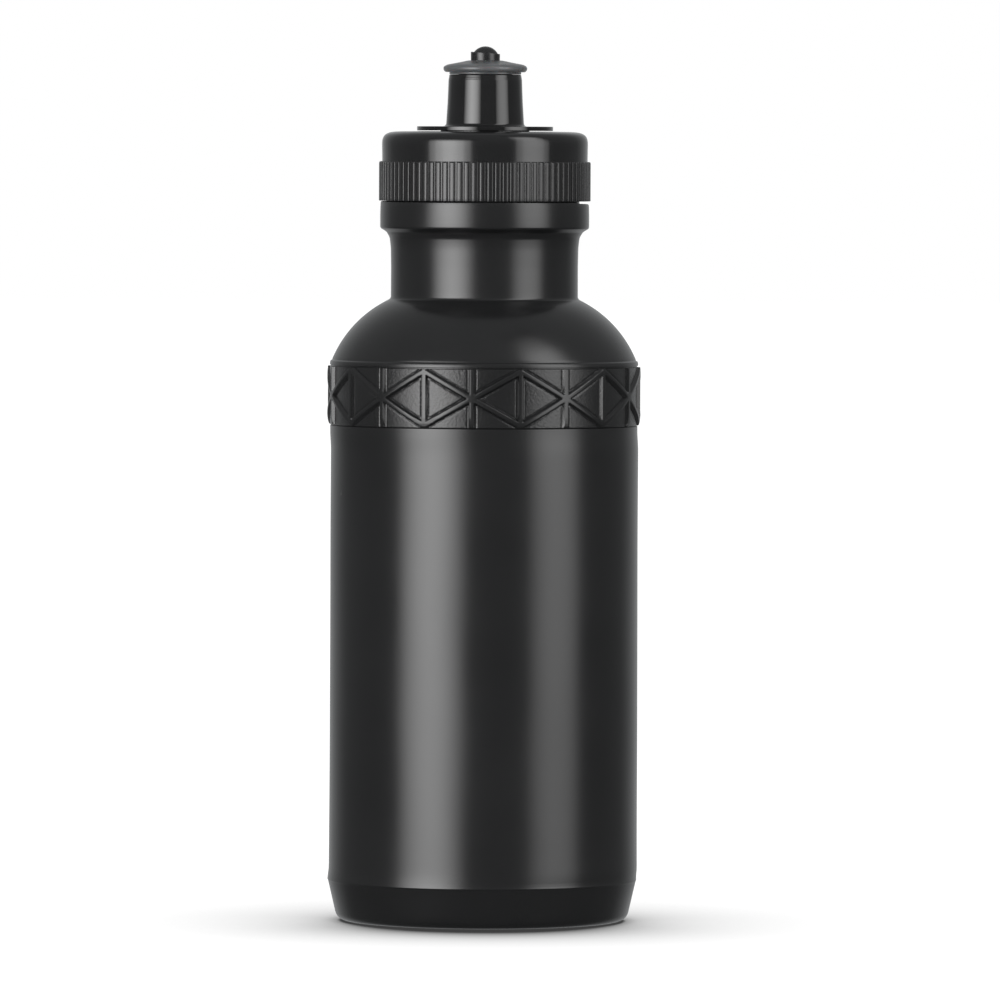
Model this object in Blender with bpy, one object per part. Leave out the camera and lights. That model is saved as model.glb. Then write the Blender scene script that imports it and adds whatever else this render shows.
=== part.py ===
"""Half-litre sports squeeze bottle with a screw cap and a push-pull drinking valve.

Units are metres, +Z is up, and the bottle's own axis is the Z axis. The origin is
the middle of the foot ring, on the surface that the bottle stands on.
The pieces are the ones that come apart on a bench:

  bottle_body   blow-moulded bottle with a threaded neck finish
  cap_gasket    soft sealing washer, pinched between the mouth and the cap's deck
  screw_cap     knurled cap with the mating thread
  spout_tower   glossy tower on a thin disc, snapped into the cap's middle hole
  seal_pin      fixed post on a three-spoke spider, which plugs the spout
  pull_spout    soft flanged spout that slides up and down in the tower
"""

import math

import bmesh
import bpy

MM = 0.001
GAP = 0.3  # between touching pieces, all lengths below are in millimetres

# bottle
BODY_R_TOP = 34.4
BODY_R_LOW = 34.55
WALL = 1.1
FOOT_IN_R = 27.0
FOOT_OUT_R = 30.3
PUSH_UP = 4.2
BASE_CREASE_Z = 9.4
BAND_R = 35.3
BAND_LOW_Z = 111.3
BAND_TOP_Z = 124.6
RIM_R = 34.65
SHOULDER_C = (10.2, 116.3)
SHOULDER_R = 25.94
SHOULDER_START_Z = 126.2
NECK_R = 21.0
NECK_LOW_Z = 139.95
BEAD_R = 23.4
BEAD_LOW_Z = 155.5
BEAD_TOP_Z = 161.3
FINISH_R = 19.9
MOUTH_R = 18.5
RIM_Z = 173.6

# screw thread, right-hand and single-start
PITCH = 4.0
TURNS = 1.25
THREAD_CREST_R = 21.2
THREAD_Z = 165.1
CAP_THREAD_CREST_R = 20.4
CAP_THREAD_Z = THREAD_Z - 1.9
FLANK_ROOT = 0.8
FLANK_CREST = 0.45
RUN_OUT_DEG = 25.0

# cap
CAP_LOW_Z = 161.9
CAP_WALL_R = 23.05
CAP_BORE_R = 21.65
KNURL_R = 23.78
KNURL_ROOT_R = 23.4
KNURL_TOP_Z = 170.75
KNURLS = 86
DECK_Z = 177.70
DECK_UNDER_Z = 175.6
CAP_HOLE_R = 10.3

# gasket
GASKET_IN_R = 17.0
GASKET_OUT_R = 21.0

# tower
DISC_R = 15.3
DISC_Z = 177.68
DISC_T = 0.95
TOWER_TOP_Z = 190.3
TOWER_TOP_R = 8.0
TOWER_LOW_R = 8.6
BORE_R = 6.7
LIP_R = 6.2
SLEEVE_R = 10.0
SLEEVE_LOW_Z = 172.9

# pull spout
FLANGE_R = 9.36
FLANGE_Z = 191.5
FLANGE_TOP_Z = 193.5
FLANGE_LOW_Z = 190.65
STEM_R = 5.9
STEM_BEAD_R = 6.4
STEM_LOW_Z = 180.5
SPOUT_BORE_R = 4.6
ORIFICE_R = 3.55

# pin
POST_R = 2.0
TIP_R = 3.25
TIP_TOP_Z = 196.65
SPIDER_R = 8.1
SPIDER_Z = (173.2, 175.2)
SPOKE_W = 1.6

SEG_LARGE = 56
SEG_SMALL = 36


def material(name, colour, roughness, metallic=0.0):
    made = bpy.data.materials.new(name)
    made.use_nodes = True
    shader = made.node_tree.nodes["Principled BSDF"]
    shader.inputs["Base Color"].default_value = (*colour, 1.0)
    shader.inputs["Roughness"].default_value = roughness
    shader.inputs["Metallic"].default_value = metallic
    return made


def arc(centre, radius, start_deg, end_deg, steps):
    """Points on a circle in the (radius, height) plane, both ends included."""
    cx, cz = centre
    return [
        (
            cx + radius * math.cos(math.radians(start_deg + (end_deg - start_deg) * i / steps)),
            cz + radius * math.sin(math.radians(start_deg + (end_deg - start_deg) * i / steps)),
        )
        for i in range(steps + 1)
    ]


def place(name, mesh_maker, origin_z, mat, parent=None):
    """Makes the object with its origin on the bottle's axis at origin_z."""
    bm = bmesh.new()
    mesh_maker(bm)
    bmesh.ops.recalc_face_normals(bm, faces=bm.faces)
    for v in bm.verts:
        v.co.z -= origin_z * MM
    mesh = bpy.data.meshes.new(name)
    bm.to_mesh(mesh)
    bm.free()
    mesh.shade_smooth()
    mesh.set_sharp_from_angle(angle=math.radians(35))
    obj = bpy.data.objects.new(name, mesh)
    bpy.context.scene.collection.objects.link(obj)
    if mat:
        mesh.materials.append(mat)
    obj.location.z = origin_z * MM
    if parent:
        obj.parent = parent
        obj.location.z = obj.location.z - parent.matrix_world.translation.z
    bpy.context.view_layer.update()
    return obj


def turn(bm, profile, segments, closed):
    """Turns a (radius, height) profile about Z. A closed profile makes a ring."""
    rings = []
    for r, z in profile:
        if r < 1e-6:
            rings.append([bm.verts.new((0, 0, z * MM))])
        else:
            rings.append(
                [
                    bm.verts.new(
                        (
                            r * MM * math.cos(2 * math.pi * i / segments),
                            r * MM * math.sin(2 * math.pi * i / segments),
                            z * MM,
                        )
                    )
                    for i in range(segments)
                ]
            )
    pairs = list(zip(rings, rings[1:]))
    if closed:
        pairs.append((rings[-1], rings[0]))
    for low, high in pairs:
        for i in range(segments):
            j = (i + 1) % segments
            if len(low) == 1:
                bm.faces.new((low[0], high[j], high[i]))
            elif len(high) == 1:
                bm.faces.new((low[i], low[j], high[0]))
            else:
                bm.faces.new((low[i], low[j], high[j], high[i]))


def helix_ridge(bm, root_r, crest_r, start_z, segments):
    """A trapezoid ridge along a right-hand helix, sinking into its wall at both ends."""
    steps = round(TURNS * segments)
    sections = []
    for i in range(steps + 1):
        angle = 2 * math.pi * i / segments
        z = start_z + PITCH * i / segments
        from_end = min(i, steps - i) * 360.0 / segments
        rise = min(1.0, from_end / RUN_OUT_DEG)
        tip_r = root_r + (crest_r - root_r) * (0.08 + 0.92 * rise)
        sections.append(
            [
                bm.verts.new((r * MM * math.cos(angle), r * MM * math.sin(angle), (z + dz) * MM))
                for r, dz in (
                    (root_r, -FLANK_ROOT),
                    (tip_r, -FLANK_CREST),
                    (tip_r, FLANK_CREST),
                    (root_r, FLANK_ROOT),
                )
            ]
        )
    for a, b in zip(sections, sections[1:]):
        for k in range(4):
            m = (k + 1) % 4
            bm.faces.new((a[k], a[m], b[m], b[k]))
    bm.faces.new(sections[0])
    bm.faces.new(list(reversed(sections[-1])))


def helper(name, mesh_maker, origin_z=0.0):
    obj = place(name, mesh_maker, origin_z, None)
    obj.hide_render = True
    obj.display_type = "WIRE"
    return obj


def boolean(obj, other, operation):
    mod = obj.modifiers.new(f"{operation.lower()} {other.name}", "BOOLEAN")
    mod.operation = operation
    mod.object = other
    mod.solver = "EXACT"


# ---------------------------------------------------------------- profiles


def bottle_profile():
    shoulder_start = math.degrees(
        math.asin((SHOULDER_START_Z - SHOULDER_C[1]) / SHOULDER_R)
    )
    shoulder_end = math.degrees(math.acos((NECK_R - SHOULDER_C[0]) / SHOULDER_R))
    outside = [
        (0.0, PUSH_UP),
        (12.0, PUSH_UP - 0.5),
        (20.0, PUSH_UP - 1.6),
        (FOOT_IN_R - 1.6, 0.9),
        (FOOT_IN_R, 0.0),
        (FOOT_OUT_R, 0.0),
        (FOOT_OUT_R + 1.2, 0.4),
        (FOOT_OUT_R + 2.1, 1.35),
        (FOOT_OUT_R + 2.55, 2.5),
        (FOOT_OUT_R + 3.35, 5.4),
        (BODY_R_LOW - 0.05, BASE_CREASE_Z),
        (BODY_R_LOW, BASE_CREASE_Z + 1.0),
        (BODY_R_TOP, 60.0),
        (BODY_R_TOP, BAND_LOW_Z - 0.1),
        (BAND_R - 0.35, BAND_LOW_Z + 0.5),
        (BAND_R, BAND_LOW_Z + 1.7),
        (BAND_R, BAND_TOP_Z - 0.2),
        (RIM_R, BAND_TOP_Z + 0.2),
        (RIM_R - 0.05, SHOULDER_START_Z - 0.3),
    ]
    outside += arc(SHOULDER_C, SHOULDER_R, shoulder_start, shoulder_end, 8)
    outside += [
        (NECK_R, NECK_LOW_Z + 0.5),
        (NECK_R + 0.08, BEAD_LOW_Z - 4.1),
        (NECK_R + 0.5, BEAD_LOW_Z - 1.4),
        (NECK_R + 1.6, BEAD_LOW_Z),
        (BEAD_R - 0.2, BEAD_LOW_Z + 0.2),
        (BEAD_R, BEAD_LOW_Z + 1.0),
        (BEAD_R - 0.05, BEAD_TOP_Z - 0.8),
        (BEAD_R - 0.5, BEAD_TOP_Z),
        (THREAD_CREST_R, BEAD_TOP_Z),
        (THREAD_CREST_R, BEAD_TOP_Z + 0.9),
        (FINISH_R, BEAD_TOP_Z + 2.0),
        (FINISH_R, RIM_Z - 0.4),
        (FINISH_R - 0.4, RIM_Z),
    ]
    inner = SHOULDER_R - WALL
    inside = [
        (MOUTH_R, RIM_Z),
        (MOUTH_R, BEAD_TOP_Z - 1.5),
        (NECK_R - 1.2, BEAD_LOW_Z - 2.0),
        (NECK_R - 1.2, NECK_LOW_Z + 0.2),
    ]
    inside += arc(
        SHOULDER_C,
        inner,
        math.degrees(math.acos((NECK_R - 0.6 - SHOULDER_C[0]) / inner)),
        math.degrees(math.asin((SHOULDER_START_Z - SHOULDER_C[1]) / inner)),
        5,
    )
    inside += [
        (BODY_R_TOP - WALL, BAND_TOP_Z - 3.0),
        (BODY_R_TOP - WALL, 12.0),
        (BODY_R_LOW - WALL - 0.6, 7.0),
        (FOOT_OUT_R + 1.3, 2.9),
        (FOOT_OUT_R - 0.3, 1.5),
        (FOOT_IN_R + 0.6, 1.4),
        (20.0, PUSH_UP - 0.2),
        (12.0, PUSH_UP + 0.8),
        (0.0, PUSH_UP + 1.3),
    ]
    return outside + inside


def cap_profile():
    return [
        (CAP_BORE_R + 0.3, CAP_LOW_Z),
        (KNURL_ROOT_R, CAP_LOW_Z),
        (KNURL_ROOT_R, KNURL_TOP_Z - 0.5),
        (CAP_WALL_R - 0.05, KNURL_TOP_Z + 0.1),
        (CAP_WALL_R + 0.05, DECK_Z - 3.05),
        (CAP_WALL_R - 0.1, DECK_Z - 1.7),
        (CAP_WALL_R - 0.5, DECK_Z - 1.05),
        (CAP_WALL_R - 1.3, DECK_Z - 0.6),
        (CAP_WALL_R - 3.0, DECK_Z - 0.35),
        (DISC_R - 0.3, DECK_Z - GAP),
        (CAP_HOLE_R, DECK_Z - GAP),
        (CAP_HOLE_R, DECK_UNDER_Z),
        (CAP_BORE_R, DECK_UNDER_Z),
        (CAP_BORE_R, CAP_LOW_Z + 0.4),
    ]


def tower_profile():
    disc_top = DISC_Z + DISC_T
    return [
        (SLEEVE_R, SLEEVE_LOW_Z + 1.0),
        (SLEEVE_R + 0.8, DECK_UNDER_Z - 0.9),
        (SLEEVE_R + 0.8, DECK_UNDER_Z - 0.4),
        (SLEEVE_R, DECK_UNDER_Z - GAP),
        (SLEEVE_R, DISC_Z),
        (DISC_R, DISC_Z),
        (DISC_R, disc_top),
        (TOWER_LOW_R + 1.2, disc_top),
        (TOWER_LOW_R + 0.3, disc_top + 0.3),
        (TOWER_LOW_R, disc_top + 1.2),
        (TOWER_TOP_R + 0.2, TOWER_TOP_Z - 1.0),
        (TOWER_TOP_R, TOWER_TOP_Z),
        (LIP_R, TOWER_TOP_Z),
        (LIP_R, TOWER_TOP_Z - 1.0),
        (BORE_R, TOWER_TOP_Z - 1.6),
        (BORE_R, disc_top + 0.9),
        (SPIDER_R + GAP, disc_top - 1.4),
        (SPIDER_R + GAP, SLEEVE_LOW_Z),
        (SLEEVE_R - 0.5, SLEEVE_LOW_Z),
    ]


def spout_profile():
    return [
        (ORIFICE_R, FLANGE_TOP_Z - 0.15),
        (ORIFICE_R + 0.4, FLANGE_TOP_Z),
        (7.1, FLANGE_TOP_Z - 0.75),
        (FLANGE_R - 0.45, FLANGE_Z + 0.85),
        (FLANGE_R, FLANGE_Z + 0.2),
        (FLANGE_R - 0.05, FLANGE_Z - 0.3),
        (FLANGE_R - 0.55, FLANGE_LOW_Z),
        (STEM_R, FLANGE_LOW_Z),
        (STEM_R, STEM_LOW_Z + 1.4),
        (STEM_BEAD_R, STEM_LOW_Z + 0.9),
        (STEM_BEAD_R, STEM_LOW_Z + 0.4),
        (STEM_R, STEM_LOW_Z),
        (SPOUT_BORE_R, STEM_LOW_Z),
        (SPOUT_BORE_R, FLANGE_LOW_Z + 0.4),
        (ORIFICE_R, FLANGE_LOW_Z + 1.1),
    ]


def gasket_profile():
    return [
        (GASKET_IN_R, RIM_Z + GAP),
        (GASKET_OUT_R, RIM_Z + GAP),
        (GASKET_OUT_R, DECK_UNDER_Z - GAP),
        (GASKET_IN_R, DECK_UNDER_Z - GAP),
    ]


def pin_profile():
    head_low = FLANGE_LOW_Z + 0.5
    dome = [
        (TIP_R * math.cos(math.radians(a)) * 0.93, TIP_TOP_Z - 1.25 + 1.25 * math.sin(math.radians(a)))
        for a in (0, 22.5, 45, 67.5)
    ]
    return (
        [(0.0, SPIDER_Z[0]), (POST_R + 0.6, SPIDER_Z[0]), (POST_R + 0.6, SPIDER_Z[1]), (POST_R, SPIDER_Z[1] + 2.0)]
        + [(POST_R, head_low - 1.2), (TIP_R, head_low), (TIP_R, TIP_TOP_Z - 1.3)]
        + dome
        + [(0.0, TIP_TOP_Z)]
    )


def spider_ring_profile():
    low, high = SPIDER_Z
    return [(SPIDER_R - 1.7, low), (SPIDER_R, low), (SPIDER_R, high), (SPIDER_R - 1.7, high)]


def spokes(bm):
    low, high = SPIDER_Z[0] + 0.15, SPIDER_Z[1] - 0.25
    for k in range(3):
        angle = math.radians(90 + 120 * k)
        along = (math.cos(angle), math.sin(angle))
        across = (-along[1], along[0])
        corners = []
        for z in (low, high):
            for d, w in ((1.2, -1), (SPIDER_R - 0.8, -1), (SPIDER_R - 0.8, 1), (1.2, 1)):
                corners.append(
                    bm.verts.new(
                        (
                            (along[0] * d + across[0] * w * SPOKE_W / 2) * MM,
                            (along[1] * d + across[1] * w * SPOKE_W / 2) * MM,
                            z * MM,
                        )
                    )
                )
        for face in ((3, 2, 1, 0), (4, 5, 6, 7), (0, 1, 5, 4), (1, 2, 6, 5), (2, 3, 7, 6), (3, 0, 4, 7)):
            bm.faces.new([corners[i] for i in face])


def knurl_ring(bm):
    """The grip band's ribs: flat lands with a narrow V groove between each two."""
    outline = []
    for k in range(KNURLS):
        for share, r in ((0.0, KNURL_ROOT_R + 0.05), (0.17, KNURL_R), (0.83, KNURL_R)):
            angle = 2 * math.pi * (k + share) / KNURLS
            outline.append((r * math.cos(angle), r * math.sin(angle)))
    inner_r = CAP_WALL_R - 0.45
    inner = [
        (
            inner_r * math.cos(2 * math.pi * (k + 0.5) / KNURLS),
            inner_r * math.sin(2 * math.pi * (k + 0.5) / KNURLS),
        )
        for k in range(KNURLS)
    ]
    levels = []
    for z in (CAP_LOW_Z + 0.05, KNURL_TOP_Z):
        levels.append(
            (
                [bm.verts.new((x * MM, y * MM, z * MM)) for x, y in outline],
                [bm.verts.new((x * MM, y * MM, z * MM)) for x, y in inner],
            )
        )
    (low_out, low_in), (high_out, high_in) = levels
    count = len(outline)
    for i in range(count):
        j = (i + 1) % count
        bm.faces.new((low_out[i], low_out[j], high_out[j], high_out[i]))
    for k in range(KNURLS):
        m = (k + 1) % KNURLS
        bm.faces.new((low_in[k], high_in[k], high_in[m], low_in[m]))
        for out_ring, in_ring in ((low_out, low_in), (high_out, high_in)):
            a, b, c = out_ring[3 * k], out_ring[3 * k + 1], out_ring[3 * k + 2]
            d = out_ring[(3 * k + 3) % count]
            bm.faces.new((in_ring[k], a, b))
            bm.faces.new((in_ring[k], b, c))
            bm.faces.new((in_ring[k], c, d))
            bm.faces.new((in_ring[k], d, in_ring[m]))


# ---------------------------------------------------------------- assembly


def main():
    for obj in list(bpy.data.objects):
        bpy.data.objects.remove(obj)

    body_plastic = material("body plastic", (0.022, 0.022, 0.023), 0.38)
    cap_plastic = material("cap plastic", (0.020, 0.020, 0.021), 0.28)
    gloss_plastic = material("tower plastic", (0.018, 0.018, 0.019), 0.10)
    soft_plastic = material("spout plastic", (0.115, 0.117, 0.120), 0.50)
    seal_rubber = material("seal rubber", (0.62, 0.61, 0.58), 0.75)

    bottle = place(
        "bottle_body", lambda bm: turn(bm, bottle_profile(), SEG_LARGE, False), 0.0, body_plastic
    )
    boolean(
        bottle,
        helper(
            "neck thread form",
            lambda bm: helix_ridge(bm, FINISH_R - 0.35, THREAD_CREST_R, THREAD_Z, SEG_LARGE),
        ),
        "UNION",
    )

    gasket = place(
        "cap_gasket",
        lambda bm: turn(bm, gasket_profile(), SEG_LARGE, True),
        RIM_Z,
        seal_rubber,
        parent=bottle,
    )

    cap = place(
        "screw_cap",
        lambda bm: turn(bm, cap_profile(), SEG_LARGE, True),
        CAP_LOW_Z,
        cap_plastic,
        parent=gasket,
    )
    boolean(cap, helper("grip rib form", knurl_ring), "UNION")
    boolean(
        cap,
        helper(
            "cap thread form",
            lambda bm: helix_ridge(bm, CAP_BORE_R + 0.35, CAP_THREAD_CREST_R, CAP_THREAD_Z, SEG_LARGE),
        ),
        "UNION",
    )

    place(
        "spout_tower",
        lambda bm: turn(bm, tower_profile(), SEG_SMALL, True),
        DISC_Z,
        gloss_plastic,
        parent=cap,
    )

    pin = place(
        "seal_pin",
        lambda bm: turn(bm, pin_profile(), 24, False),
        SPIDER_Z[0],
        gloss_plastic,
        parent=cap,
    )
    boolean(pin, helper("spider spoke form", spokes), "UNION")
    boolean(
        pin,
        helper(
            "spider ring form",
            lambda bm: turn(bm, spider_ring_profile(), SEG_SMALL, True),
        ),
        "UNION",
    )

    place(
        "pull_spout",
        lambda bm: turn(bm, spout_profile(), SEG_SMALL, True),
        FLANGE_LOW_Z,
        soft_plastic,
        parent=cap,
    )


main()
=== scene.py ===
import math

import bpy
import numpy as np
from mathutils import Matrix, Vector

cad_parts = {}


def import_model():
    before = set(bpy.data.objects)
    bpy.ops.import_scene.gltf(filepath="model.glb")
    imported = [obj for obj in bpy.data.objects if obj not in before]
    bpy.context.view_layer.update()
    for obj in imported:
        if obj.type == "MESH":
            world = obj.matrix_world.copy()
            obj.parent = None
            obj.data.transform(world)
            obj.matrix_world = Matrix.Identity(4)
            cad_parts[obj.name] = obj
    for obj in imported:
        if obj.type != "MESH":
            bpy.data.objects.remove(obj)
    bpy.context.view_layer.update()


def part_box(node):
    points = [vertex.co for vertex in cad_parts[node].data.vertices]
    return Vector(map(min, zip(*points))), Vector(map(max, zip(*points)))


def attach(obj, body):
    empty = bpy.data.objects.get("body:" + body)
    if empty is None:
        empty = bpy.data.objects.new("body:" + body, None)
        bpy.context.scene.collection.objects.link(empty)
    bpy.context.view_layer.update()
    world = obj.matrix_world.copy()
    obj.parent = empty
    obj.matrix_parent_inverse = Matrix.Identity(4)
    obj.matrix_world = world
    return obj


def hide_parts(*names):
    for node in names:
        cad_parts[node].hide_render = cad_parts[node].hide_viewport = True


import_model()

MM = 0.001

# ------------------------------------------------------------------ frame
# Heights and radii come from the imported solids, in millimetres.


def span(node):
    low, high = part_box(node)
    return [v / MM for v in low], [v / MM for v in high]


(_, _, FOOT_Z), (_, _, RIM_Z) = span("bottle_body")
(_, _, CAP_LOW), (CAP_R, _, _) = span("screw_cap")
CAP_DECK = span("screw_cap")[1][2]
(_, _, TOWER_LOW), (DISC_R, _, TOWER_TOP) = span("spout_tower")
(_, _, SPOUT_LOW), (FLANGE_R, _, FLANGE_TOP) = span("pull_spout")
(_, _, PIN_LOW), (PIN_R, _, PIN_TOP) = span("seal_pin")
(_, _, GASKET_LOW), (GASKET_R, _, GASKET_TOP) = span("cap_gasket")
BAND_R = span("bottle_body")[1][0]

PITCH, TURNS = 4.0, 1.25


# ------------------------------------------------------------------ mesh help


def smooth(a, b, x):
    t = np.clip((np.asarray(x, float) - a) / (b - a), 0.0, 1.0)
    return t * t * (3 - 2 * t)


def rounded(points, step=12.0):
    """A (radius, height) line whose corners (r, z, R) are rounded to R."""
    out = []
    last = len(points) - 1
    for i, (r, z, rad) in enumerate(points):
        if rad <= 0 or i in (0, last):
            out.append((r, z))
            continue
        p = np.array((r, z))
        a = np.array(points[i - 1][:2]) - p
        b = np.array(points[i + 1][:2]) - p
        la, lb = np.linalg.norm(a), np.linalg.norm(b)
        a, b = a / la, b / lb
        inner = math.acos(float(np.clip(a @ b, -1, 1)))
        if math.pi - inner < 0.01:
            out.append((r, z))
            continue
        reach = min(rad / math.tan(inner / 2), 0.49 * la, 0.49 * lb)
        rad = reach * math.tan(inner / 2)
        mid = (a + b) / np.linalg.norm(a + b)
        centre = p + mid * (rad / math.sin(inner / 2))
        s, e = p + a * reach, p + b * reach
        a0 = math.atan2(*(s - centre)[::-1])
        a1 = math.atan2(*(e - centre)[::-1])
        turn = (a1 - a0 + math.pi) % (2 * math.pi) - math.pi
        n = max(2, math.ceil(abs(math.degrees(turn)) / step))
        for k in range(n + 1):
            ang = a0 + turn * k / n
            out.append((centre[0] + rad * math.cos(ang), centre[1] + rad * math.sin(ang)))
    return out


def dense(points, most):
    """The same line with no stretch longer than most."""
    out = [points[0]]
    for (r0, z0), (r1, z1) in zip(points, points[1:]):
        n = max(1, math.ceil(math.hypot(r1 - r0, z1 - z0) / most))
        out += [(r0 + (r1 - r0) * k / n, z0 + (z1 - z0) * k / n) for k in range(1, n + 1)]
    return out


class Turned:
    """A body built ring by ring about the bottle's axis. A ring's radius and height may vary with the angle."""

    def __init__(self, angles=None):
        self.rings = []
        self.marks = []
        self.angles = angles or {}

    def at(self, n):
        """The angles of a ring of n points: even steps, unless the body has its own."""
        return self.angles[n] if n in self.angles else 2 * np.pi * np.arange(n) / n

    def ring(self, n, r, z, mark=0.0):
        angle = self.at(n)
        r = np.broadcast_to(np.asarray(r, float), (n,))
        z = np.broadcast_to(np.asarray(z, float), (n,))
        self.rings.append(np.stack([r * np.cos(angle), r * np.sin(angle), z], 1))
        self.marks.append(np.broadcast_to(np.asarray(mark, float), (n,)))

    def pole(self, z):
        self.rings.append(np.array([[0.0, 0.0, z]]))
        self.marks.append(np.zeros(1))

    def profile(self, n, points, swell=None, mark=0.0):
        angle = self.at(n)
        for r, z in points:
            extra = swell(angle, r, z) if swell else 0.0
            self.ring(n, r + extra, z, mark)

    def build(self, name, mat, body, replaces, closed, split_deg=32):
        starts = np.cumsum([0] + [len(r) for r in self.rings])
        verts = np.concatenate(self.rings) * MM
        faces = []
        pairs = list(zip(range(len(self.rings) - 1), range(1, len(self.rings))))
        if closed:
            pairs.append((len(self.rings) - 1, 0))
        for i, j in pairs:
            a, b = len(self.rings[i]), len(self.rings[j])
            sa, sb = int(starts[i]), int(starts[j])
            if a == b:
                k = np.arange(a)
                m = (k + 1) % a
                faces += np.stack([sa + k, sa + m, sb + m, sb + k], 1).tolist()
            elif a == 1:
                faces += [(sa, sb + (k + 1) % b, sb + k) for k in range(b)]
            elif b == 1:
                faces += [(sa + k, sa + (k + 1) % a, sb) for k in range(a)]
            elif b > a:
                m = b // a
                for k in range(a):
                    top = [sb + (k * m + q) % b for q in range(m, -1, -1)]
                    faces.append([sa + k, sa + (k + 1) % a] + top)
            else:
                m = a // b
                for k in range(b):
                    low = [sa + (k * m + q) % a for q in range(m + 1)]
                    faces.append(low + [sb + (k + 1) % b, sb + k])
        mesh = bpy.data.meshes.new(name)
        mesh.from_pydata(verts.tolist(), [], faces)
        mesh.validate()
        volume = 0.0
        mesh.calc_loop_triangles()
        tri = np.empty(len(mesh.loop_triangles) * 3, np.int32)
        mesh.loop_triangles.foreach_get("vertices", tri)
        corner = verts[tri.reshape(-1, 3)]
        volume = np.einsum("ij,ij->i", corner[:, 0], np.cross(corner[:, 1], corner[:, 2])).sum() / 6
        if volume < 0:
            mesh.flip_normals()
        mesh.shade_smooth()
        mesh.set_sharp_from_angle(angle=math.radians(split_deg))
        grain = mesh.attributes.new("grain", "FLOAT", "POINT")
        grain.data.foreach_set("value", np.concatenate(self.marks).astype(np.float32))
        mesh.materials.append(mat)
        obj = bpy.data.objects.new(name, mesh)
        bpy.context.scene.collection.objects.link(obj)
        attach(obj, body)
        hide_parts(replaces)
        print(name, len(verts), "points", round(abs(volume) * 1e9), "mm3")
        return obj


def thread(angle, z, start_z, rise, root=0.8, crest=0.45, run_out=25.0):
    """Height of a single-start right-hand thread above its wall at each angle, for one height z."""
    height = np.zeros_like(angle)
    for extra in (0.0, 2 * math.pi):
        t = angle + extra
        inside = t <= 2 * math.pi * TURNS + 1e-9
        centre = start_z + PITCH * t / (2 * math.pi)
        away = np.abs(z - centre)
        from_end = np.degrees(np.minimum(t, 2 * math.pi * TURNS - t))
        end = smooth(0.0, run_out, from_end)
        width_root = root * (0.55 + 0.45 * end)
        width_crest = crest * (0.35 + 0.65 * end)
        shape = 1.0 - np.clip((away - width_crest) / (width_root - width_crest), 0.0, 1.0)
        shape = shape * (1.3 - 0.3 * shape)
        height = np.maximum(height, np.where(inside, shape * end * rise, 0.0))
    return np.minimum(height, rise)


# ------------------------------------------------------------------ materials


class Nodes:
    def __init__(self, name):
        self.mat = bpy.data.materials.new(name)
        self.mat.use_nodes = True
        self.tree = self.mat.node_tree
        self.shader = self.tree.nodes["Principled BSDF"]
        self.where = self.add("ShaderNodeTexCoord").outputs["Object"]

    def add(self, kind, **values):
        node = self.tree.nodes.new(kind)
        for key, value in values.items():
            if hasattr(node, key):
                setattr(node, key, value)
            else:
                node.inputs[key].default_value = value
        return node

    def link(self, a, b):
        self.tree.links.new(a, b)

    def noise(self, scale, detail=2.0, stretch=(1, 1, 1), rough=0.5):
        mapping = self.add("ShaderNodeMapping")
        mapping.inputs["Scale"].default_value = stretch
        self.link(self.where, mapping.inputs["Vector"])
        noise = self.add("ShaderNodeTexNoise", Scale=scale, Detail=detail, Roughness=rough)
        self.link(mapping.outputs["Vector"], noise.inputs["Vector"])
        return noise.outputs["Fac"]

    def ranged(self, value, low, high, from_low=0.3, from_high=0.7):
        node = self.add("ShaderNodeMapRange")
        node.clamp = True
        node.inputs["From Min"].default_value = from_low
        node.inputs["From Max"].default_value = from_high
        node.inputs["To Min"].default_value = low
        node.inputs["To Max"].default_value = high
        self.link(value, node.inputs["Value"])
        return node.outputs["Result"]

    def math(self, op, a, b):
        node = self.add("ShaderNodeMath")
        node.operation = op
        for i, v in enumerate((a, b)):
            if isinstance(v, (int, float)):
                node.inputs[i].default_value = v
            else:
                self.link(v, node.inputs[i])
        return node.outputs[0]

    def colour(self, low, high, value):
        ramp = self.add("ShaderNodeMix")
        ramp.data_type = "RGBA"
        ramp.inputs[6].default_value = (*low, 1)
        ramp.inputs[7].default_value = (*high, 1)
        self.link(value, ramp.inputs[0])
        self.link(ramp.outputs[2], self.shader.inputs["Base Color"])

    def bump(self, height, distance, before=None, strength=1.0):
        node = self.add("ShaderNodeBump")
        node.inputs["Strength"].default_value = strength
        node.inputs["Distance"].default_value = distance
        self.link(height, node.inputs["Height"])
        if before:
            self.link(before, node.inputs["Normal"])
        return node.outputs["Normal"]

    def set(self, **values):
        for key, value in values.items():
            self.shader.inputs[key.replace("_", " ")].default_value = value


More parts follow.
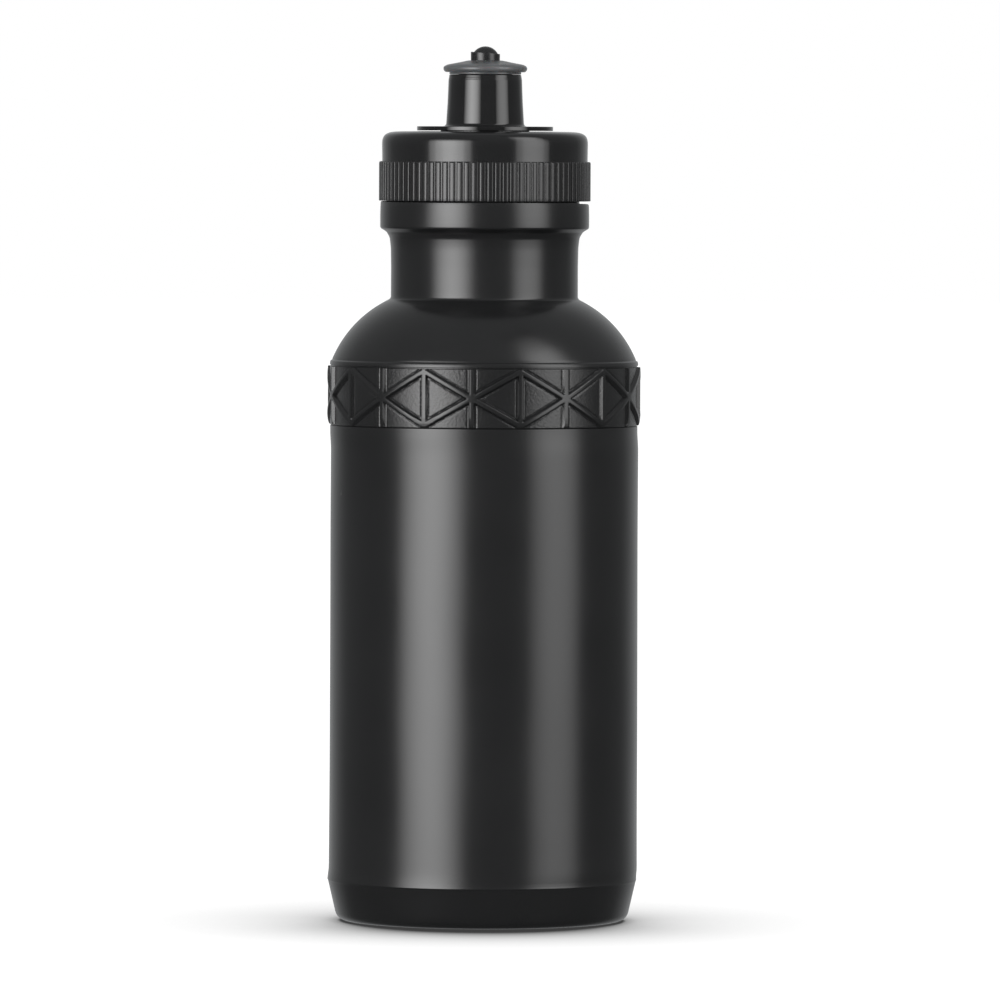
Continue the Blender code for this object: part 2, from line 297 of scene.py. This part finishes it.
def moulded(name, low, high, rough, rough_more, scuff, grain=0.0, coarse=0.0, wave=0.0, ior=1.5):
    """Moulded plastic: cloudy tone, uneven gloss, hairline scuffs and a fine skin."""
    n = Nodes(name)
    cloud = n.noise(45.0, 3.0)
    fine = n.noise(900.0, 3.0)
    n.colour(low, high, n.ranged(cloud, 0.0, 1.0))
    streak = n.noise(1.0, 2.0, (2200.0, 2200.0, 90.0))
    patch = n.noise(30.0, 2.0)
    roughness = n.math("ADD", n.ranged(cloud, rough, rough + rough_more), n.math("MULTIPLY", n.ranged(streak, 0.0, 1.0, 0.56, 0.75), n.ranged(patch, 0.0, scuff, 0.45, 0.7)))
    normal = None
    if wave:
        normal = n.bump(n.noise(60.0, 1.0, (1, 1, 0.6)), wave)
    normal = n.bump(fine, 0.0000022, normal)
    if grain:
        mask = n.add("ShaderNodeAttribute")
        mask.attribute_name = "grain"
        rough_skin = n.math("MULTIPLY", n.noise(2000.0, 2.5, (1, 1, 1.2), 0.6), mask.outputs["Fac"])
        normal = n.bump(rough_skin, grain, normal)
        roughness = n.math("ADD", roughness, n.math("MULTIPLY", mask.outputs["Fac"], coarse))
    n.link(roughness, n.shader.inputs["Roughness"])
    n.link(normal, n.shader.inputs["Normal"])
    n.set(IOR=ior)
    return n.mat


BODY_MAT = moulded("body_satin", (0.0082, 0.0083, 0.0086), (0.0104, 0.0105, 0.0108), 0.215, 0.03, 0.04, grain=0.00008, coarse=0.0, wave=0.00003)
CAP_MAT = moulded("cap_semigloss", (0.0080, 0.0080, 0.0083), (0.0100, 0.0100, 0.0104), 0.115, 0.03, 0.05, grain=0.000006, coarse=0.13)
PIN_MAT = moulded("pin_satin", (0.0090, 0.0090, 0.0094), (0.0115, 0.0115, 0.0120), 0.24, 0.05, 0.04, wave=0.00002)
GLOSS_MAT = moulded("tower_gloss", (0.0072, 0.0072, 0.0075), (0.0090, 0.0090, 0.0094), 0.045, 0.02, 0.03)


def soft_spout():
    n = Nodes("spout_soft_grey")
    cloud = n.noise(260.0, 3.0)
    n.colour((0.080, 0.082, 0.085), (0.118, 0.120, 0.124), n.ranged(cloud, 0.0, 1.0))
    n.link(n.ranged(n.noise(400.0, 2.0), 0.26, 0.34), n.shader.inputs["Roughness"])
    n.link(n.bump(n.noise(1500.0, 3.0), 0.000006), n.shader.inputs["Normal"])
    n.set(IOR=1.5, Subsurface_Weight=0.12, Subsurface_Scale=0.0012)
    return n.mat


def seal():
    n = Nodes("seal_off_white")
    cloud = n.noise(300.0, 4.0)
    n.colour((0.56, 0.55, 0.52), (0.66, 0.65, 0.61), n.ranged(cloud, 0.0, 1.0))
    n.link(n.ranged(cloud, 0.62, 0.75), n.shader.inputs["Roughness"])
    n.link(n.bump(n.noise(2600.0, 3.0), 0.00001), n.shader.inputs["Normal"])
    return n.mat


SPOUT_MAT, SEAL_MAT = soft_spout(), seal()

# ------------------------------------------------------------------ bottle

SEG = 320
BAND_SEG = 1280
BAND_LOW, BAND_HIGH = 111.62, 124.78
PANEL_R = 34.63
CREST_R = BAND_R - 0.02
FACETS = 20
BAND_PHASE = math.radians(-90 - 4.35)  # one crossing bar stands just left of the front
SHOULDER_C, SHOULDER_R = (10.2, 116.3), 25.94


def wobble(angle, r, z):
    """The slight unevenness of a blown wall."""
    fade = smooth(9.8, 18.0, z) * (1 - smooth(104.0, 110.0, z))
    lean = 0.20 * smooth(9.4, 12.0, z) * (1 - smooth(106.0, 110.2, z))  # the wall stands a hair off the foot's centre
    return lean * np.cos(angle) + fade * (
        0.022 * np.sin(3 * angle + z * 0.05)
        + 0.014 * np.sin(5 * angle - z * 0.11 + 1.0)
        + 0.008 * np.sin(9 * angle + z * 0.17 + 2.0)
    )


def parting(angle, r, z):
    """The mould's parting line, a hairline ridge down both sides."""
    side = np.abs((angle + math.pi / 2) % math.pi - math.pi / 2) * r
    return 0.035 * np.exp(-((side / 0.35) ** 2))


def band_surface(angle, z):
    """Radius and grain of the relief band at one height."""
    cell = 2 * math.pi / FACETS
    turn = (angle - BAND_PHASE) / cell
    index = np.floor(turn)
    local = (turn - index - 0.5) * cell
    half_h = (BAND_HIGH - BAND_LOW) / 2
    up = (z - (BAND_LOW + BAND_HIGH) / 2)
    across = local * PANEL_R
    half_w = cell / 2 * PANEL_R
    bar = np.minimum(np.abs(across + half_w), np.abs(across - half_w))
    # the diagonal runs from the middle of a crossing bar to the top and bottom of the next plain bar
    outward = np.where(index % 2 == 0, 1.0, -1.0)
    run = (across * outward + half_w) / (2 * half_w)
    reach = half_h - 0.55
    slope = math.atan2(reach, 2 * half_w)
    diagonal = np.abs(np.abs(up) - run * reach) * math.cos(slope)

    def ridge(distance, half):
        return 1 - smooth(half - 0.40, half, distance)

    rise = np.maximum(ridge(bar, 0.78), ridge(diagonal, 0.80))
    node = np.hypot(np.minimum(np.abs(across + half_w * outward), 9.0), up)
    rise = np.maximum(rise, 0.95 * ridge(node, 1.45))
    moat = np.exp(-(((np.minimum(bar, diagonal) - 0.88) / 0.17) ** 2))
    height = 0.62 * rise - 0.13 * moat * (1 - rise)
    # the band's lower edge is rounded off, so the ribs sink towards it
    trim = np.interp(z, (BAND_LOW, 111.9, 112.6, 114.2), (34.86, 35.02, 35.14, CREST_R))
    radius = np.minimum(PANEL_R + height, trim)
    grain = (1 - rise) ** 2
    return radius, grain


def bottle():
    t = Turned()
    t.pole(4.2)
    low = dense(
        rounded(
            [
                (0.0, 4.2, 0), (13.0, 3.85, 60), (24.8, 1.35, 14), (26.9, FOOT_Z, 1.6),
                (32.58, FOOT_Z, 2.3), (34.64, 8.85, 0.25), (34.78, 9.14, 0.10), (34.74, 9.5, 0.2), (34.71, 10.2, 0.6),
                (34.68, 12.6, 2), (34.65, 17.0, 20), (34.62, 26.0, 60), (34.60, 48.0, 60), (34.56, 75.0, 60), (34.55, BAND_LOW - 0.45, 0),
            ],
            9.0,
        ),
        1.6,
    )[1:]

    def lower(angle, r, z):
        return wobble(angle, r, z) + (parting(angle, r, z) if z > 0.5 else 0.0)

    t.profile(SEG, low, lower)
    angle = 2 * np.pi * np.arange(BAND_SEG) / BAND_SEG
    seam = parting(angle, 34.55, 100.0)
    for r, z in ((34.55, BAND_LOW - 0.30), (34.54, BAND_LOW - 0.24), (34.38, BAND_LOW - 0.17), (34.33, BAND_LOW - 0.11)):
        t.ring(BAND_SEG, r + seam, z)
    edge_r, _ = band_surface(angle, BAND_LOW + 0.12)
    for share, z in ((0.10, BAND_LOW - 0.06), (0.55, BAND_LOW - 0.03), (0.93, BAND_LOW + 0.02)):
        t.ring(BAND_SEG, 34.33 + (edge_r - 34.33) * share, z)
    for z in np.arange(BAND_LOW + 0.10, BAND_HIGH - 0.09, 0.175):
        r, grain = band_surface(angle, z)
        t.ring(BAND_SEG, r, z, grain)
    last, _ = band_surface(angle, BAND_HIGH - 0.1)
    rim_r, groove = 34.66, 34.44
    for share, z in ((0.12, BAND_HIGH - 0.07), (0.75, BAND_HIGH - 0.03), (1.0, BAND_HIGH + 0.02)):
        t.ring(BAND_SEG, last + (groove - last) * share, z)
    t.ring(BAND_SEG, groove, BAND_HIGH + 0.12)
    # the shoulder's arc runs into the neck through a small hollow
    start = math.degrees(math.asin((126.45 - SHOULDER_C[1]) / SHOULDER_R))
    hollow_r = 0.9
    hollow_c = (21.0 + hollow_r, SHOULDER_C[1] + math.sqrt((SHOULDER_R + hollow_r) ** 2 - (21.0 + hollow_r - SHOULDER_C[0]) ** 2))
    end = math.degrees(math.atan2(hollow_c[1] - SHOULDER_C[1], hollow_c[0] - SHOULDER_C[0]))
    arc = [
        (
            SHOULDER_C[0] + SHOULDER_R * math.cos(math.radians(a)),
            SHOULDER_C[1] + SHOULDER_R * math.sin(math.radians(a)),
            0,
        )
        for a in np.linspace(start, end, 40)
    ]
    arc += [
        (hollow_c[0] + hollow_r * math.cos(math.radians(a)), hollow_c[1] + hollow_r * math.sin(math.radians(a)), 0)
        for a in np.linspace(180 + end, 180, 10)[1:]
    ]
    high = dense(
        rounded(
            [(groove, BAND_HIGH + 0.17, 0), (rim_r, BAND_HIGH + 0.24, 0.1), (rim_r, 125.4, 4), (rim_r - 0.10, 125.90, 0.35), (34.12, 126.16, 0.2)]
            + arc
            + [
                (20.98, 147.0, 30), (21.06, 151.4, 12), (21.33, 153.7, 2.2), (22.05, 154.9, 1.2),
                (22.95, 155.48, 0.4), (23.34, 155.72, 0.2), (23.46, 156.1, 0.3), (23.47, 158.5, 20), (23.42, 160.6, 4),
            ],
            9.0,
        ),
        1.4,
    )
    t.profile(SEG, high, parting)
    angle = 2 * np.pi * np.arange(SEG) / SEG
    # the bead's upper face stands close under the cap, but for a lower stretch on the right
    turned = np.abs((angle + math.pi) % (2 * math.pi) - math.pi)
    tilt = 0.50 * smooth(math.radians(23), math.radians(28), turned)
    for r, z in rounded([(23.42, 160.7, 0), (23.36, 161.27, 0.32), (22.6, 161.3, 0), (21.3, 161.3, 0.2), (21.2, 162.6, 0)], 15.0)[1:]:
        t.ring(SEG, r + parting(angle, r, z) * 0.6, z + tilt * (1 - smooth(161.3, 162.5, z)))
    base = rounded([(21.2, 162.65, 0.2), (21.15, 162.8, 0.2), (19.95, 163.5, 0.4), (19.95, 172.9, 0)], 15.0)
    base_z = np.array([p[1] for p in base])
    base_r = np.array([p[0] for p in base])
    for z in np.arange(162.75, 172.9, 0.14):
        wall = np.interp(z, base_z, base_r)
        t.ring(SEG, np.maximum(wall, 19.95 + thread(angle, z, 165.1, 1.22)), z)
    t.profile(
        SEG,
        rounded([(19.95, 172.95, 0), (19.9, RIM_Z, 0.45), (18.5, RIM_Z, 0.35), (18.5, 160.0, 2), (19.75, 154.0, 3), (19.8, 141.2, 1.0), (20.6, 139.0, 0)], 12.0),
    )
    inner = SHOULDER_R - 1.1
    t.profile(
        SEG,
        [
            (SHOULDER_C[0] + inner * math.cos(math.radians(a)), SHOULDER_C[1] + inner * math.sin(math.radians(a)))
            for a in np.linspace(math.degrees(math.acos((20.9 - SHOULDER_C[0]) / inner)), start + 1.0, 16)
        ],
    )
    t.profile(
        SEG,
        dense(
            rounded([(33.15, 124.0, 0), (33.25, 110.0, 4), (33.3, 12.0, 6), (31.9, 2.9, 3), (29.5, 1.35, 1.2), (27.0, 1.4, 1.5), (24.4, 2.6, 6), (13.0, 4.9, 40), (1.5, 5.3, 0)], 12.0),
            8.0,
        ),
    )
    t.pole(5.3)
    return t.build("bottle_shell", BODY_MAT, "bottle", "bottle_body", False)


# ------------------------------------------------------------------ cap

KNURLS = 86
KNURL_SEG = KNURLS * 12
CAP_SEG = KNURL_SEG // 4
KNURL_TOP = 170.74
GROOVE_R = 23.47
WALL_R = 23.10
KNURL_STEPS = np.array((-0.8687, -0.73, -0.68, -0.61, -0.50, -0.28, 0.0, 0.28, 0.50, 0.61, 0.68, 0.73))
KNURL_ANGLES = (2 * np.pi * (np.arange(KNURLS) + 0.22)[:, None] / KNURLS + KNURL_STEPS[None, :] / CAP_R).ravel()


def knurl_surface(angle, z):
    """Crowned ribs with rounded ends and narrow grooves between them."""
    pitch = 2 * math.pi * CAP_R / KNURLS
    share = (angle * KNURLS / (2 * math.pi) + 0.5 * KNURLS + 0.28) % 1.0
    across = np.abs(share - 0.5) * pitch
    sink = np.interp(across, (0.0, 0.28, 0.50, 0.61, 0.68, 0.73), (0.0, 0.010, 0.045, 0.10, 0.19, 0.33))
    end = np.interp(KNURL_TOP - z, (-0.02, 0.03, 0.09, 0.18, 0.32, 0.50), (0.33, 0.20, 0.11, 0.045, 0.010, 0.0))
    foot = np.interp(z - CAP_LOW, (0.0, 0.12), (0.05, 0.0))
    rib = CAP_R + 0.02 - np.minimum(np.hypot(sink, end), 0.33) - foot
    floor = np.interp(z, (KNURL_TOP - 0.04, KNURL_TOP + 0.04), (GROOVE_R, WALL_R))
    blend = np.interp(z, (KNURL_TOP, KNURL_TOP + 0.04), (0.0, 1.0))
    return np.maximum(floor, rib) * (1 - blend) + floor * blend


def cap():
    t = Turned({KNURL_SEG: KNURL_ANGLES, CAP_SEG: KNURL_ANGLES[::4]})
    angle = t.at(KNURL_SEG)
    t.profile(CAP_SEG, [(22.0, CAP_LOW + 0.12), (22.25, CAP_LOW)])
    t.ring(CAP_SEG, 23.1, CAP_LOW)
    edge = knurl_surface(angle, CAP_LOW + 0.2)
    t.ring(KNURL_SEG, edge - 0.10, CAP_LOW)
    t.ring(KNURL_SEG, edge - 0.03, CAP_LOW + 0.03, 1.0)
    t.ring(KNURL_SEG, edge, CAP_LOW + 0.12, 1.0)
    heights = list(np.arange(CAP_LOW + 0.8, KNURL_TOP - 1.0, 0.9))
    heights += [KNURL_TOP - d for d in (0.6, 0.48, 0.38, 0.30, 0.23, 0.17, 0.12, 0.08, 0.045, 0.015, -0.01, -0.04)]
    for z in heights:
        t.ring(KNURL_SEG, knurl_surface(angle, z), z, 1.0)
    t.profile(
        CAP_SEG,
        dense(
            rounded(
                [(WALL_R, KNURL_TOP + 0.12, 0), (23.13, 173.2, 4), (23.15, 174.6, 0), (23.13, 175.2, 0), (23.06, 175.66, 0), (22.90, 176.13, 0), (22.62, 176.58, 0), (22.25, 176.88, 0), (21.8, 177.11, 0), (21.2, 177.29, 0), (20.3, 177.42, 0), (19.0, 177.48, 0), (DISC_R + 0.15, 177.53, 0.05), (DISC_R - 0.4, CAP_DECK, 0), (10.3, CAP_DECK, 0.15), (10.3, 175.6, 0.15), (21.65, 175.6, 0.5), (21.65, 169.5, 0)],
                9.0,
            ),
            1.2,
        ),
    )
    angle = t.at(CAP_SEG) % (2 * np.pi)
    for z in np.arange(169.4, CAP_LOW + 0.55, -0.14):
        t.ring(CAP_SEG, 21.65 - thread(angle, z, 163.2, 1.22), z)
    t.ring(CAP_SEG, 21.7, CAP_LOW + 0.42)
    return t.build("screw_cap_shell", CAP_MAT, "cap", "screw_cap", True)


# ------------------------------------------------------------------ valve


def tower():
    t = Turned()
    top = TOWER_TOP
    disc_top = 178.63
    t.profile(
        192,
        dense(
            rounded(
                [
                    (9.5, 172.9, 0.2), (10.0, 173.9, 0.2), (10.8, 174.7, 0.2), (10.8, 175.2, 0.2), (10.0, 175.3, 0.1), (10.0, TOWER_LOW + 4.9, 0.1),
                    (DISC_R, 177.69, 0.10), (DISC_R, disc_top, 0.10), (12.0, disc_top + 0.03, 2), (8.78, disc_top + 0.03, 0.75),
                    (8.62, 181.3, 6), (8.46, 183.9, 12), (8.35, 186.5, 12), (8.26, 189.15, 0.05), (8.21, 189.28, 0.05), (8.21, 189.45, 0.05),
                    (8.17, 189.55, 0.05), (8.08, top, 0.22), (6.2, top, 0.2), (6.2, 189.3, 0.2), (6.7, 188.7, 0.2), (6.7, 179.7, 0.4),
                    (8.4, 177.4, 0.2), (8.4, 172.9, 0.1),
                ],
                10.0,
            ),
            1.5,
        ),
    )
    return t.build("spout_tower_shell", GLOSS_MAT, "cap", "spout_tower", True)


def spout():
    t = Turned()
    collar = 190.37
    t.profile(
        192,
        dense(
            rounded(
                [
                    (3.5, FLANGE_TOP - 0.25, 0.1), (3.62, FLANGE_TOP - 0.02, 0.12), (4.1, FLANGE_TOP - 0.09, 0.3), (5.6, FLANGE_TOP - 0.42, 3), (8.55, FLANGE_TOP - 0.98, 1.2),
                    (9.42, FLANGE_TOP - 1.45, 0.7), (9.40, FLANGE_TOP - 2.2, 0.7), (8.95, collar + 0.48, 0.35), (8.07, collar + 0.48, 0.12), (8.07, collar, 0.12), (5.95, collar, 0.2), (5.9, 181.9, 0.3), (6.4, 181.35, 0.25), (6.4, 180.9, 0.25), (5.9, SPOUT_LOW, 0.2),
                    (4.6, SPOUT_LOW, 0.2), (4.6, 190.9, 0.4), (3.5, 191.8, 0.3),
                ],
                9.0,
            ),
            0.9,
        ),
    )
    return t.build("pull_spout_shell", SPOUT_MAT, "spout", "pull_spout", True)


def pin():
    """The post and its domed tip; the rim round the dome stands up in small corners."""
    t = Turned()
    n = 96
    angle = 2 * np.pi * np.arange(n) / n
    t.pole(PIN_LOW)
    for r, z in dense(
        rounded([(2.6, PIN_LOW, 0.2), (2.6, 175.2, 0.3), (2.0, 177.0, 0.5), (2.0, 189.9, 0.4), (3.25, 191.1, 0.3), (3.26, 193.2, 0), (3.28, 194.7, 0)], 12.0), 1.0
    ):
        t.ring(n, r, z)
    rim = 195.17 + 0.24 * np.cos(angle - math.pi)  # left corner stands higher than the right
    t.ring(n, 3.28, rim - 0.12)
    t.ring(n, 3.26, rim - 0.03)
    t.ring(n, 3.18, rim)
    t.ring(n, 3.02, rim - 0.01)
    t.ring(n, 2.86, rim - 0.08)
    ball, middle = 3.2, PIN_TOP - 3.2
    for r in (2.78, 2.7, 2.6, 2.48, 2.34, 2.15, 1.9, 1.6, 1.25, 0.85, 0.45):
        t.ring(n, r, np.maximum(middle + math.sqrt(ball * ball - r * r), rim - 0.11))
    t.pole(PIN_TOP)
    post = t.build("seal_pin_post", PIN_MAT, "cap", "seal_pin", False)
    ring = Turned()
    ring.profile(96, rounded([(6.4, 173.3, 0.15), (PIN_R, 173.2, 0.3), (PIN_R, 175.2, 0.3), (6.4, 175.2, 0.3)], 20.0))
    spider = ring.build("seal_pin_spider", GLOSS_MAT, "cap", "seal_pin", True)
    return post, spider


def gasket():
    t = Turned()
    t.profile(
        160,
        rounded(
            [(17.0, GASKET_LOW + 0.7, 0), (17.0, GASKET_LOW, 0.25), (18.0, GASKET_LOW, 0.1), (18.5, GASKET_LOW + 0.12, 0.1), (20.3, GASKET_LOW + 0.12, 0.1), (20.6, GASKET_LOW, 0.1), (GASKET_R, GASKET_LOW, 0.25), (GASKET_R, GASKET_TOP, 0.25), (17.0, GASKET_TOP, 0.25), (17.0, GASKET_TOP - 0.4, 0)],
            18.0,
        ),
    )
    return t.build("cap_gasket_ring", SEAL_MAT, "seal", "cap_gasket", True)


def spokes():
    """Three flat arms join the pin's post to its ring."""
    import bmesh

    bm = bmesh.new()
    for k in range(3):
        made = bmesh.ops.create_cube(bm, size=1.0)["verts"]
        bmesh.ops.scale(bm, vec=(5.2 * MM, 1.6 * MM, 1.6 * MM), verts=made)
        bmesh.ops.translate(bm, vec=(4.7 * MM, 0, 174.2 * MM), verts=made)
        bmesh.ops.rotate(bm, cent=(0, 0, 0), matrix=Matrix.Rotation(math.radians(90 + 120 * k), 3, "Z"), verts=made)
    bmesh.ops.bevel(bm, geom=bm.edges[:], offset=0.2 * MM, segments=2, affect="EDGES", profile=0.5)
    mesh = bpy.data.meshes.new("seal_pin_spokes")
    bm.to_mesh(mesh)
    bm.free()
    mesh.shade_smooth()
    mesh.set_sharp_from_angle(angle=math.radians(40))
    mesh.materials.append(GLOSS_MAT)
    obj = bpy.data.objects.new("seal_pin_spokes", mesh)
    bpy.context.scene.collection.objects.link(obj)
    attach(obj, "cap")
    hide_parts("seal_pin")


bottle()
cap()
tower()
spout()
pin()
spokes()
gasket()

# ------------------------------------------------------------------ stage


def grid(name, rows, material):
    """A sheet through rows of points; rows of (x, y, z, glow) in metres."""
    count = len(rows[0])
    flat = [p for row in rows for p in row]
    faces = []
    for i in range(len(rows) - 1):
        for k in range(count - 1):
            a = i * count + k
            faces.append((a, a + 1, a + count + 1, a + count))
    mesh = bpy.data.meshes.new(name)
    mesh.from_pydata([p[:3] for p in flat], [], faces)
    mesh.shade_smooth()
    glow = mesh.attributes.new("glow", "FLOAT", "POINT")
    glow.data.foreach_set("value", [p[3] for p in flat])
    mesh.materials.append(material)
    obj = bpy.data.objects.new(name, mesh)
    bpy.context.scene.collection.objects.link(obj)
    return obj


def floor():
    """A white sweep: it glows evenly, and the shade where the bottle hides the room from it is painted into that glow,
    with a painted shadow in front of the foot.
    """
    n = Nodes("pale_floor_painted_shade")
    n.colour((0.97, 0.97, 0.97), (1.0, 1.0, 1.0), n.noise(3.0))
    # painted shade: an ambient occlusion term dims the floor's glow where the bottle hides the room
    occlusion_painted_shade = n.add("ShaderNodeAmbientOcclusion", Distance=0.9)
    occlusion_painted_shade.samples = 24
    level = n.math("SUBTRACT", n.math("MULTIPLY", occlusion_painted_shade.outputs["AO"], 1.55), 0.313)
    # painted shadow: the bottle's shade is painted into the floor's glow, deepest just in front of it and fading with
    # distance from the foot
    here = n.add("ShaderNodeSeparateXYZ")
    n.link(n.where, here.inputs[0])
    reach = n.math("SQRT", n.math("ADD", n.math("POWER", here.outputs["X"], 2.0), n.math("POWER", here.outputs["Y"], 2.0)), 0.0)
    reach = n.math("MAXIMUM", reach, 0.001)
    painted_shadow_front = n.math("DIVIDE", n.math("MAXIMUM", n.math("MULTIPLY", here.outputs["Y"], -1.0), 0.0), reach)
    painted_shadow_fade = n.math("EXPONENT", n.math("DIVIDE", n.math("SUBTRACT", 0.0344, reach), 0.018), 0.0)
    level = n.math("SUBTRACT", level, n.math("MULTIPLY", n.math("MULTIPLY", painted_shadow_fade, 0.8), n.math("POWER", painted_shadow_front, 2.0)))
    level = n.math("MAXIMUM", n.math("MINIMUM", level, 1.15), 0.05)
    glow = n.add("ShaderNodeEmission")
    n.link(level, glow.inputs["Strength"])
    tone = n.shader.inputs["Base Color"].links[0].from_socket
    n.link(tone, glow.inputs["Color"])
    out = next(x for x in n.tree.nodes if x.type == "OUTPUT_MATERIAL")
    n.link(glow.outputs[0], out.inputs["Surface"])
    steps = np.linspace(-9.0, 9.0, 37)
    obj = grid("studio_floor", [[(x, y, 0.0, 1.0) for x in steps] for y in steps], n.mat)
    obj.location.z = -0.0002
    obj.visible_glossy = False
    obj.visible_diffuse = False
    obj.visible_shadow = False


def softbox(name, azimuth, half, flat, power, heights, levels, radiance):
    """A curved light sheet round the bottle: bright in its middle and fading to its edges, as a lamp behind cloth does."""
    rows = []
    for e in np.arange(heights[0], heights[-1] + 0.1, 1.0):
        up = float(np.interp(e, heights, levels))
        row = []
        for d in np.linspace(-half, half, 49):
            share = max(0.0, 1 - abs(d / half) ** flat) ** power
            a, t = math.radians(azimuth + d), math.radians(e)
            row.append((1.2 * math.sin(a) * math.cos(t), -1.2 * math.cos(a) * math.cos(t), 0.15 + 1.2 * math.sin(t), share * up))
        rows.append(row)
    n = Nodes(name + "_cloth")
    glow = n.add("ShaderNodeEmission")
    mark = n.add("ShaderNodeAttribute")
    mark.attribute_name = "glow"
    cloth = n.ranged(n.noise(4.0), 0.97, 1.03)
    n.link(n.math("MULTIPLY", n.math("MULTIPLY", mark.outputs["Fac"], radiance), cloth), glow.inputs["Strength"])
    out = next(x for x in n.tree.nodes if x.type == "OUTPUT_MATERIAL")
    n.link(glow.outputs[0], out.inputs["Surface"])
    obj = grid(name, rows, n.mat)
    obj.visible_camera = False
    obj.visible_shadow = False
    return obj


def world():
    made = bpy.data.worlds.new("studio")
    bpy.context.scene.world = made
    made.use_nodes = True
    tree = made.node_tree
    tree.nodes.clear()
    out = tree.nodes.new("ShaderNodeOutputWorld")
    mix = tree.nodes.new("ShaderNodeMixShader")
    path = tree.nodes.new("ShaderNodeLightPath")
    white = tree.nodes.new("ShaderNodeBackground")
    white.inputs["Strength"].default_value = 1.0
    room = tree.nodes.new("ShaderNodeBackground")
    where = tree.nodes.new("ShaderNodeTexCoord")
    split = tree.nodes.new("ShaderNodeSeparateXYZ")
    ramp = tree.nodes.new("ShaderNodeMapRange")
    ramp.interpolation_type = "LINEAR"
    ramp.inputs["From Min"].default_value = 0.60
    ramp.inputs["From Max"].default_value = 1.0
    ramp.inputs["To Max"].default_value = 0.52
    lift = tree.nodes.new("ShaderNodeMapRange")
    lift.interpolation_type = "SMOOTHSTEP"
    lift.inputs["From Min"].default_value = -0.35
    lift.inputs["From Max"].default_value = 0.30
    lift.inputs["To Min"].default_value = 0.12
    lift.inputs["To Max"].default_value = 0.27
    white.inputs["Color"].default_value = (1, 1, 1, 1)
    room.inputs["Color"].default_value = (0.97, 0.99, 1, 1)
    tree.links.new(where.outputs["Generated"], split.inputs[0])
    tree.links.new(split.outputs["Z"], lift.inputs["Value"])
    crown = tree.nodes.new("ShaderNodeMapRange")
    crown.inputs["From Min"].default_value = 0.35
    crown.inputs["From Max"].default_value = 0.90
    crown.inputs["To Max"].default_value = 0.08
    tree.links.new(split.outputs["Z"], crown.inputs["Value"])
    total = tree.nodes.new("ShaderNodeMath")
    tree.links.new(lift.outputs["Result"], total.inputs[0])
    tree.links.new(crown.outputs["Result"], total.inputs[1])
    tree.links.new(total.outputs[0], ramp.inputs["To Min"])
    tree.links.new(split.outputs["Y"], ramp.inputs["Value"])
    tree.links.new(ramp.outputs["Result"], room.inputs["Strength"])
    tree.links.new(path.outputs["Is Camera Ray"], mix.inputs[0])
    tree.links.new(room.outputs[0], mix.inputs[1])
    tree.links.new(white.outputs[0], mix.inputs[2])
    tree.links.new(mix.outputs[0], out.inputs[0])


def camera():
    data = bpy.data.cameras.new("camera")
    data.lens, data.sensor_width = 398.9, 36.0
    data.dof.use_dof = False
    data.clip_start, data.clip_end = 0.05, 50.0
    obj = bpy.data.objects.new("camera", data)
    bpy.context.scene.collection.objects.link(obj)
    obj.location = (0.00372, -2.493, 0.178)
    tilt = Matrix.Rotation(math.radians(90 - 1.9157), 4, "X")
    roll = Matrix.Rotation(math.radians(0.25), 4, "Z")
    obj.rotation_mode = "QUATERNION"
    obj.rotation_quaternion = (tilt @ roll).to_quaternion()
    bpy.context.scene.camera = obj


floor()
softbox("left_softbox", -40.0, 29.0, 2.0, 1.3, (-26, -14, -6, -3.4, -1.4, 1, 12, 21, 30), (0.0, 0.6, 0.80, 0.90, 0.97, 1.0, 1.0, 0.5, 0.0), 8.0)
softbox("right_softbox", 54.5, 23.0, 2.5, 1.0, (-26, -14, -6, -3.4, -1.4, 1, 45, 51, 60, 66, 70), (0.0, 0.5, 0.70, 0.82, 0.93, 1.0, 1.0, 0.56, 0.28, 0.07, 0.0), 3.75)
world()
camera()
bpy.context.scene.view_settings.view_transform = "Standard"
